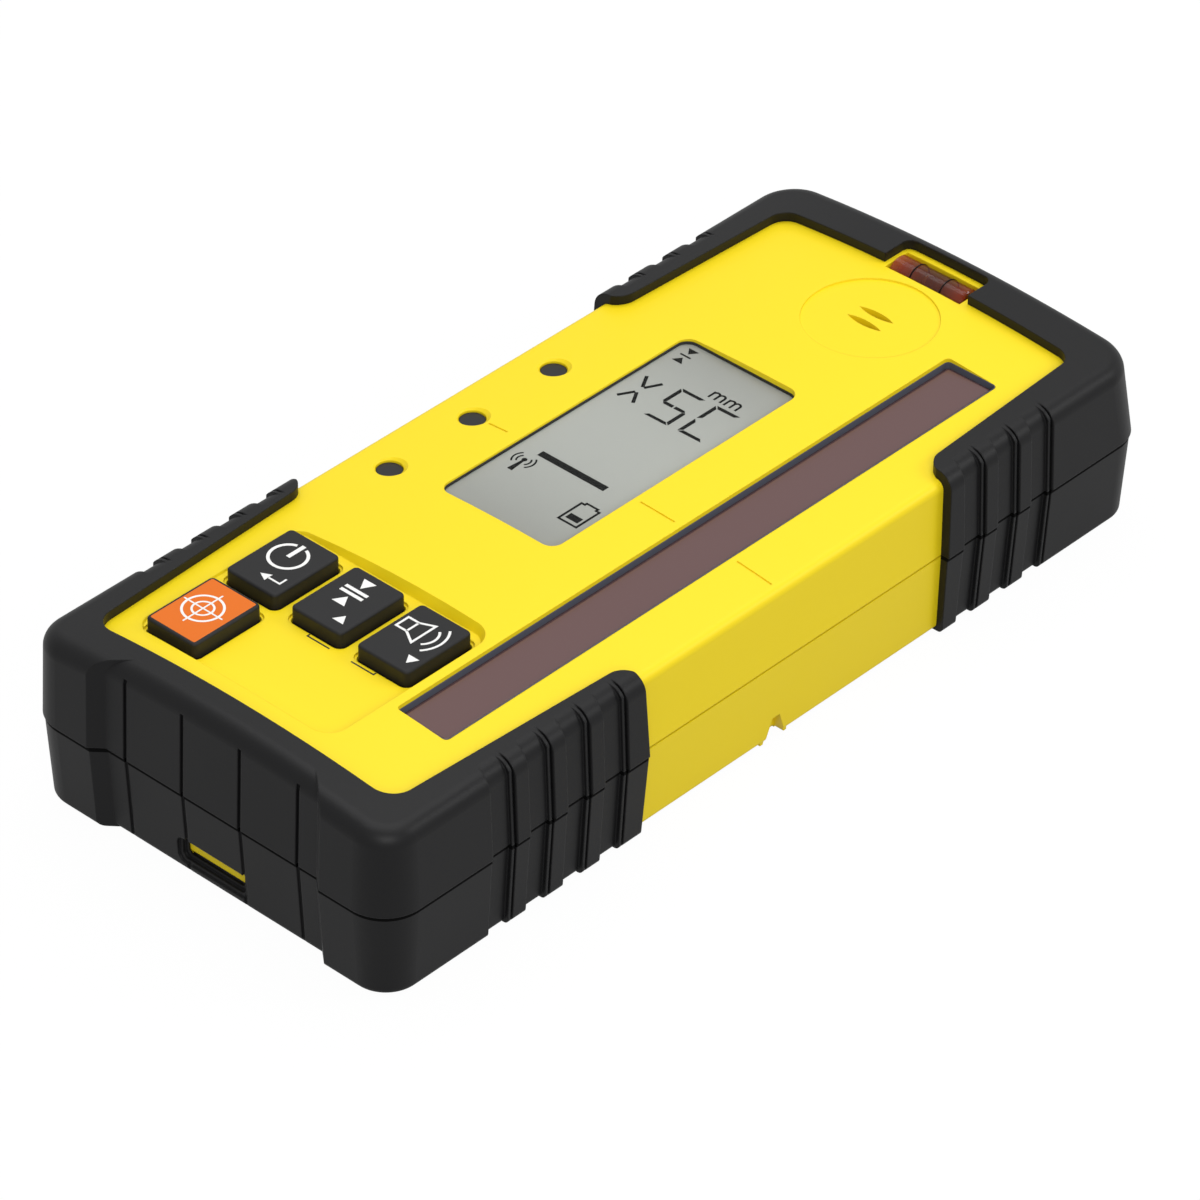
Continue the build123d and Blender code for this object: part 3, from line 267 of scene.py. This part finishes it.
def gap_shade_strip(name, half_node):
    """A thin black strip on the back half's upper face: painted shade that closes the gap to the
    front half, where the real gap is only deep and dark.
    """
    lip = bmesh.new()
    lip.from_mesh(nodes[half_node].data)
    bmesh.ops.remove_doubles(lip, verts=lip.verts, dist=1e-7)
    top = max(vert.co.z for vert in lip.verts)
    others = [face for face in lip.faces
              if face.normal.z < 0.99 or face.calc_center_median().z < top - 1e-5]
    bmesh.ops.delete(lip, geom=others, context="FACES")
    bmesh.ops.translate(lip, verts=lip.verts, vec=(0, 0, -parting_overlap / 1000))
    bmesh.ops.inset_region(
        lip, faces=lip.faces[:], thickness=parting_proud / 1000, use_boundary=True,
        use_even_offset=True, use_outset=True)
    raised = bmesh.ops.extrude_face_region(lip, geom=lip.faces[:])
    upper = [v for v in raised["geom"] if isinstance(v, bmesh.types.BMVert)]
    bmesh.ops.translate(lip, verts=upper, vec=(0, 0, parting_height / 1000))
    bmesh.ops.recalc_face_normals(lip, faces=lip.faces)
    mesh = bpy.data.meshes.new(name)
    lip.to_mesh(mesh)
    lip.free()
    mesh.materials.append(gap_shade_black)
    piece = bpy.data.objects.new(name, mesh)
    bpy.context.collection.objects.link(piece)
    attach(piece, "casing")


gap_shade_strip("lower_bumper_gap_shade", "lower_bumper_back")
gap_shade_strip("upper_bumper_gap_shade", "upper_bumper_back")


# Flat printing: polygons in millimetres that become a thin skin of ink at one height. The same
# shapes serve the display's dark segments and the white signs on the keys.
def block(left, right, low, high):
    return [(left, low), (right, low), (right, high), (left, high)]


def arc(x, y, radius, start, end, steps=24):
    turns = [radians(start + (end - start) * i / steps) for i in range(steps + 1)]
    return [(x + radius * cos(t), y + radius * sin(t)) for t in turns]


def strip(points, width, closed=False):
    """Quads of one width along a line of points, mitred where it turns."""
    points = [Vector(p) for p in points]
    count = len(points)
    left, right = [], []
    for i, here in enumerate(points):
        before = points[i - 1] if closed or i else None
        after = points[(i + 1) % count] if closed or i < count - 1 else None
        into = (here - before).normalized() if before else (after - here).normalized()
        out = (after - here).normalized() if after else into
        along = (into + out).normalized()
        side = Vector((-along.y, along.x)) * (width / 2 / max(along.dot(into), 0.3))
        left.append(here + side)
        right.append(here - side)
    runs = range(count if closed else count - 1)
    return [[right[i], right[(i + 1) % count], left[(i + 1) % count], left[i]] for i in runs]


def printed(name, shapes, height, body, material, thickness=0.015):
    """Ink with the outlines of the given polygons, lying at one height in millimetres."""
    skin = bmesh.new()
    for shape in shapes:
        corners = [skin.verts.new((x / 1000, y / 1000, height / 1000)) for x, y in shape]
        skin.faces.new(corners)
    bmesh.ops.remove_doubles(skin, verts=skin.verts, dist=1e-7)
    bmesh.ops.recalc_face_normals(skin, faces=skin.faces)
    for face in skin.faces:
        if face.normal.z < 0:
            face.normal_flip()
    raised = bmesh.ops.extrude_face_region(skin, geom=skin.faces[:])
    top = [v for v in raised["geom"] if isinstance(v, bmesh.types.BMVert)]
    bmesh.ops.translate(skin, verts=top, vec=(0, 0, thickness / 1000))
    mesh = bpy.data.meshes.new(name)
    skin.to_mesh(mesh)
    skin.free()
    mesh.materials.append(material)
    piece = bpy.data.objects.new(name, mesh)
    bpy.context.collection.objects.link(piece)
    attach(piece, body)
    return piece


# Display: a liquid-crystal cell with a grey-green reflector behind a clear pane, showing a
# height of five, its unit, the two height arrows, the middle bar and three small signs.
def graded(name, inner, outer, axis, middle, reach, roughness, specular, alpha=1.0):
    """A colour that goes from one value in the middle to another at both ends of its length; on
    the display reflector the lighter middle is painted light.
    """
    material = bpy.data.materials.new(name)
    material.use_nodes = True
    tree = material.node_tree
    shader = tree.nodes["Principled BSDF"]
    shader.inputs["Roughness"].default_value = roughness
    shader.inputs["Specular IOR Level"].default_value = specular
    shader.inputs["Alpha"].default_value = alpha
    coords = tree.nodes.new("ShaderNodeTexCoord")
    split = tree.nodes.new("ShaderNodeSeparateXYZ")
    away = tree.nodes.new("ShaderNodeMath")
    away.operation = "SUBTRACT"
    away.inputs[1].default_value = middle / 1000
    share = tree.nodes.new("ShaderNodeMath")
    share.operation = "DIVIDE"
    share.inputs[1].default_value = reach / 1000
    square = tree.nodes.new("ShaderNodeMath")
    square.operation = "MULTIPLY"
    blend = tree.nodes.new("ShaderNodeMix")
    blend.data_type = "RGBA"
    blend.inputs["A"].default_value = inner
    blend.inputs["B"].default_value = outer
    link(tree, coords.outputs["Object"], split.inputs[0])
    link(tree, split.outputs[axis], away.inputs[0])
    link(tree, away.outputs[0], share.inputs[0])
    link(tree, share.outputs[0], square.inputs[0])
    link(tree, share.outputs[0], square.inputs[1])
    link(tree, square.outputs[0], blend.inputs["Factor"])
    link(tree, blend.outputs["Result"], shader.inputs["Base Color"])
    return material


def rounded(left, right, low, high, radius):
    """The outline of a rectangle with rounded corners."""
    centres = [(right - radius, high - radius), (left + radius, high - radius),
               (left + radius, low + radius), (right - radius, low + radius)]
    points = []
    for turn, (x, y) in enumerate(centres):
        points += arc(x, y, radius, 90 * turn, 90 * turn + 90, 8)
    return points


# The reflector's lighter middle and darker ends are painted light, the way light falls across the
# flat panel.
wear("display_panel", graded(
    "display reflector with painted light", srgb(203, 206, 199), srgb(181, 183, 177), "Y", 11.5, 26, 0.4, 0.2))
pane = bpy.data.materials.new("display pane")
pane.use_nodes = True
shader = pane.node_tree.nodes["Principled BSDF"]
shader.inputs["Base Color"].default_value = srgb(50, 52, 50)
shader.inputs["Alpha"].default_value = 0.1
shader.inputs["Roughness"].default_value = 0.05
shader.inputs["IOR"].default_value = 1.45
wear("display_window", pane)
wear("display_frame", moulded("display frame plastic", srgb(30, 30, 30), 0.5))
wear("display_connectors", moulded("zebra strip", srgb(210, 160, 170), 0.5))


def level_sign(x, y, reach, bars):
    """Two triangles whose points face each other across one or two bars."""
    half = 0.52 * reach
    shapes = [
        [(x - half, y + reach), (x, y + 0.3 * reach), (x + half, y + reach)],
        [(x - half, y - reach), (x + half, y - reach), (x, y - 0.3 * reach)]]
    return shapes + bars


crystal = moulded("dark crystal", srgb(18, 19, 18), 0.5, 9000, 0.0, 0.05, 0.05)
crystal_z = 29.155
# The dark ring round the display's inner edge is painted shade: a strip of the frame's black
# plastic standing in for the shadow gap between the pane and the yellow wall.
display_shade_rim = strip(rounded(-17.96, 5.96, -17.66, 38.66, 2.15), 0.15, closed=True)
printed("display_edge_shade", display_shade_rim, crystal_z, "casing",
        bpy.data.materials["display frame plastic"], 0.5)

level = level_sign(-15.28, 35.4, 2.05, [block(-16.35, -14.2, 35.22, 35.58)])
printed("lcd_level_sign", level, crystal_z, "casing", crystal)

five = [
    [(-9.6, 28.55), (-8.95, 27.9), (-5.5, 27.95), (-4.85, 28.6)],
    [(-9.75, 28.35), (-9.75, 24.15), (-9.4, 23.95), (-9.05, 24.35), (-9.05, 27.75)],
    [(-9.45, 23.85), (-9.1, 23.5), (-7.35, 23.5), (-7.35, 24.2), (-9.1, 24.2)],
    [(-7.05, 23.55), (-5.2, 23.6), (-4.9, 23.95), (-5.25, 24.25), (-7.05, 24.25)],
    [(-4.75, 23.85), (-4.55, 23.55), (-4.55, 19.6), (-5.25, 20.1), (-5.25, 23.5)],
    [(-9.4, 19.35), (-4.75, 19.45), (-5.35, 20.05), (-8.8, 20.0)]]
unit = [
    [(-2.5, 28.8), (-1.85, 28.1), (1.5, 28.2), (2.15, 28.9)],
    [(-2.7, 28.6), (-2.7, 24.2), (-2.0, 24.75), (-2.0, 28.0)],
    [(-2.7, 23.9), (-2.0, 23.2), (-2.0, 20.4), (-2.7, 19.75)],
    [(-2.5, 19.6), (2.15, 19.7), (1.55, 20.35), (-1.9, 20.3)]]
printed("lcd_digits", five + unit, crystal_z, "casing", crystal)

arrows = []
for x0, y0, x1, y1 in ((-15.95, 27.2, -14.4, 24.5), (-12.65, 27.25, -14.1, 24.5),
                       (-15.9, 20.25, -14.4, 22.85), (-12.6, 20.35, -14.1, 22.85)):
    arrows += strip([(x0, y0), (x1, y1)], 0.6)
printed("lcd_arrows", arrows, crystal_z, "casing", crystal)

letters = []
for x in (-5.2, -2.0):
    letters += strip([(x, 29.6), (x, 31.45)], 0.4)
    for j in (0, 1):
        inner = x + 0.02 + 1.17 * j
        hump = arc(inner + 0.58, 30.85, 0.58, 170, 0, 10)
        letters += strip(hump + [(inner + 1.16, 29.6)], 0.4)
printed("lcd_unit", letters, crystal_z, "casing", crystal)

printed("lcd_middle_bar", [block(-13.85, -0.02, -0.05, 1.33)], crystal_z, "casing",
        crystal)

mast = [arc(-14.4, -2.3, 0.46, 0, 345, 23),
        [(-14.62, -2.5), (-14.9, -5.7), (-13.9, -5.7), (-14.18, -2.5)]]
for radius in (1.2, 1.95):
    for start, end in ((-46, 46), (134, 226)):
        mast += strip(arc(-14.4, -2.45, radius, start, end, 14), 0.3)
printed("lcd_antenna_sign", mast, crystal_z, "casing", crystal)

cell = strip([(-0.25, -9.75), (3.45, -9.75), (3.45, -4.55), (2.75, -4.55), (2.75, -4.1),
              (0.45, -4.1), (0.45, -4.55), (-0.25, -4.55)], 0.42, closed=True)
printed("lcd_cell_sign", cell + [block(0.35, 2.85, -8.9, -7.5)], crystal_z, "casing",
        crystal)


# Receiving window: a long brown filter with a bevelled edge. The grey-blue ring round it, at the
# foot of the recess wall, is a painted reflection: it stands for the surroundings mirrored in the
# bevel.
wear("receiving_window", moulded("tinted filter", srgb(97, 69, 68), 0.25, 9000, 0.0, 0.05))
window_reflection_rim = strip(rounded(15.88, 25.92, -61.42, 62.42, 0.8), 0.12, closed=True)
printed("window_edge_reflection", window_reflection_rim, 28.3, "casing",
        moulded("painted window reflection", srgb(84, 88, 100), 0.5, 9000, 0.0, 0.05, 0.3), 1.2)
wear("sensor_board", moulded("board green", srgb(25, 80, 48), 0.35))
wear("main_board", bpy.data.materials["board green"])
wear("photodiodes", moulded("chip black", srgb(25, 25, 28), 0.3))
wear("board_chips", bpy.data.materials["chip black"])
wear("led_lenses", moulded("lamp lens", srgb(36, 36, 38), 0.3, 9000, 0.0, 0.05, 0.3))
wear("leds", moulded("lamp body", srgb(230, 228, 215), 0.4))


# Level vial: a clear tube with red-brown fluid, a bubble and two black rings.
# Tube and fluid are both darker in the middle and lighter towards the ends.
wear("level_vial", graded(
    "vial tube", srgb(98, 50, 38), srgb(172, 66, 38), "X", 0.8, 7.5, 0.08, 0.4, 0.5))
wear("vial_liquid", graded(
    "vial fluid", srgb(52, 40, 34), srgb(150, 54, 30), "X", 0.8, 6, 0.15, 0.4, 0.7))
wear("vial_bubble", moulded("vial bubble", srgb(245, 160, 70), 0.15, 9000, 0.0))
wear("vial_rings", moulded("ring black", srgb(10, 10, 10), 0.5, 9000, 0.0, 0.05, 0.1))


# Sounder behind the two slots.
wear("buzzer", moulded("buzzer plastic", srgb(22, 22, 22), 0.5))
wear("sound_membrane", moulded("acoustic cloth", srgb(14, 14, 14), 0.8))


# Keys: dark grey rubber, one with an orange inlay, with their signs printed in white: power and
# return, accuracy, loudness with its waves, and the crosshair of the capture key.
key_rubber = moulded("key rubber", srgb(28, 28, 29), 0.5, 6000, 0.01, 0.1, 0.25, 0.25)
for key in ("key_power", "key_accuracy", "key_volume", "key_capture"):
    wear(key, key_rubber)
wear("capture_inlay", moulded("orange key face", srgb(226, 113, 30), 0.5, 6000, 0.01, 0.1, 0.2))
wear("keypad_mat", moulded("silicone", srgb(120, 122, 122), 0.6))

white_ink = moulded("white ink", srgb(244, 244, 242), 0.5, 6000, 0.0, 0.03)
key_top = 31.3
power = strip(arc(-20.9, -47.1, 3.05, 108, 432, 60), 0.55)
power.append(block(-21.28, -20.5, -47.2, -43.6))
power.append([(-21.05, -52.85), (-19.3, -53.75), (-19.3, -51.95)])
power += strip([(-19.35, -52.85), (-16.95, -52.85), (-16.95, -51.35)], 0.36)
printed("power_key_signs", power, key_top, "power_key", white_ink)

accuracy = level_sign(-7.35, -46.7, 3.5, [
    block(-9.65, -5.05, -46.5, -45.85), block(-9.65, -5.05, -47.6, -46.95)])
accuracy[0] = [(-8.65, -43.2), (-7.35, -45.45), (-6.1, -43.2)]
accuracy[1] = [(-8.65, -50.2), (-6.0, -50.2), (-7.3, -48.05)]
accuracy.append([(-5.3, -53.5), (-3.0, -53.5), (-4.12, -51.7)])
printed("accuracy_key_signs", accuracy, key_top, "accuracy_key", white_ink)

loudness = strip([(2.8, -48.15), (2.8, -45.45), (4.95, -45.45), (7.4, -44.35),
                  (7.4, -49.65), (4.95, -48.15)], 0.42, closed=True)
loudness += strip([(4.95, -45.5), (4.95, -48.1)], 0.4)
loudness += strip(arc(6.9, -47.0, 2.75, -48, 48, 20), 0.42)
loudness += strip(arc(6.1, -47.0, 4.85, -42, 42, 24), 0.42)
loudness.append([(9.2, -52.0), (10.32, -53.8), (11.4, -52.0)])
printed("volume_key_signs", loudness, key_top, "volume_key", white_ink)

rings = strip(arc(-20.9, -65.0, 3.2, 0, 354, 59), 0.42, closed=True)
rings += strip(arc(-20.9, -65.0, 1.7, 0, 352, 44), 0.36, closed=True)
printed("capture_key_rings", rings, key_top, "capture_key", white_ink)
across = [block(-24.9, -16.8, -65.15, -64.85)]
printed("capture_key_line_across", across, key_top, "capture_key", white_ink, 0.02)
along = [block(-21.05, -20.75, -69.2, -60.8)]
printed("capture_key_line_along", along, key_top, "capture_key", white_ink, 0.025)

black_ink = moulded("black ink", srgb(30, 28, 20), 0.5, 6000, 0.0, 0.03)
hooks = strip([(-7.1, -56.35), (-7.1, -56.9), (-2.5, -56.9)], 0.28)
hooks += strip([(6.65, -56.35), (6.65, -56.9), (2.0, -56.9)], 0.28)
printed("key_bracket", hooks, 28.9, "casing", black_ink)


# Battery bay and its door, and the metal parts.
steel = bpy.data.materials.new("plated steel")
steel.use_nodes = True
shader = steel.node_tree.nodes["Principled BSDF"]
shader.inputs["Metallic"].default_value = 1
shader.inputs["Base Color"].default_value = srgb(170, 170, 168)
shader.inputs["Roughness"].default_value = 0.35
for piece in ("key_domes", "contact_plates", "contact_strap", "contact_springs",
              "hinge_pin", "casing_screws", "board_screws"):
    wear(piece, steel)
brass = bpy.data.materials.new("turned brass")
brass.use_nodes = True
shader = brass.node_tree.nodes["Principled BSDF"]
shader.inputs["Metallic"].default_value = 1
shader.inputs["Base Color"].default_value = srgb(205, 165, 90)
shader.inputs["Roughness"].default_value = 0.3
wear("clamp_insert", brass)

thread_pitch = 1.27
thread_core = 2.55
thread_outer = 3.175
insert_outer = 4.6
insert_low = 0.4
insert_high = 10.4
clamp_y = 22.0
thread_steps = 32
thread_turns = 10

insert = bmesh.new()
flank = [(thread_core, 0.0), (thread_core, 0.15), (thread_outer, 0.45), (thread_outer, 0.55),
         (thread_core, 0.85), (thread_core, 1.0)]
profile = [insert.verts.new((radius / 1000, clamp_y / 1000,
                             (insert_low - thread_pitch + share * thread_pitch) / 1000))
           for radius, share in flank]
lines = [insert.edges.new(pair) for pair in zip(profile, profile[1:])]
bmesh.ops.spin(
    insert, geom=profile + lines, cent=(0, clamp_y / 1000, 0), axis=(0, 0, 1),
    dvec=(0, 0, thread_pitch / thread_steps / 1000), angle=2 * pi * thread_turns,
    steps=thread_steps * thread_turns, use_merge=False, use_duplicate=False)
bmesh.ops.remove_doubles(insert, verts=insert.verts, dist=2e-6)
for level, side in ((insert_low, -1), (insert_high, 1)):
    bmesh.ops.bisect_plane(
        insert, geom=insert.verts[:] + insert.edges[:] + insert.faces[:], dist=1e-8,
        plane_co=(0, 0, level / 1000), plane_no=(0, 0, side), clear_outer=True)
ring = bmesh.ops.create_circle(insert, segments=64, radius=insert_outer / 1000, cap_ends=False)
bmesh.ops.translate(insert, verts=ring["verts"], vec=(0, clamp_y / 1000, insert_low / 1000))
outer_edges = [e for e in insert.edges if all(v in ring["verts"] for v in e.verts)]
wall = bmesh.ops.extrude_edge_only(insert, edges=outer_edges)
upper = [v for v in wall["geom"] if isinstance(v, bmesh.types.BMVert)]
bmesh.ops.translate(insert, verts=upper, vec=(0, 0, (insert_high - insert_low) / 1000))
for level in (insert_low, insert_high):
    edges = [e for e in insert.edges if e.is_boundary
             and all(abs(v.co.z - level / 1000) < 2e-6 for v in e.verts)]
    bmesh.ops.triangle_fill(insert, edges=edges, use_beauty=True, normal=(0, 0, 1))
bmesh.ops.recalc_face_normals(insert, faces=insert.faces)
insert_mesh = bpy.data.meshes.new("clamp_insert_threaded")
insert.to_mesh(insert_mesh)
insert.free()
insert_mesh.materials.append(brass)
insert_piece = bpy.data.objects.new("clamp_insert_threaded", insert_mesh)
bpy.context.collection.objects.link(insert_piece)
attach(insert_piece, "casing")
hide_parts("clamp_insert")
wear("battery_left", moulded("cell jacket", srgb(70, 72, 76), 0.3))
wear("battery_right", bpy.data.materials["cell jacket"])
wear("battery_door", moulded("door plastic", srgb(32, 32, 33), 0.5))
wear("door_seal", moulded("seal rubber", srgb(60, 60, 60), 0.6))
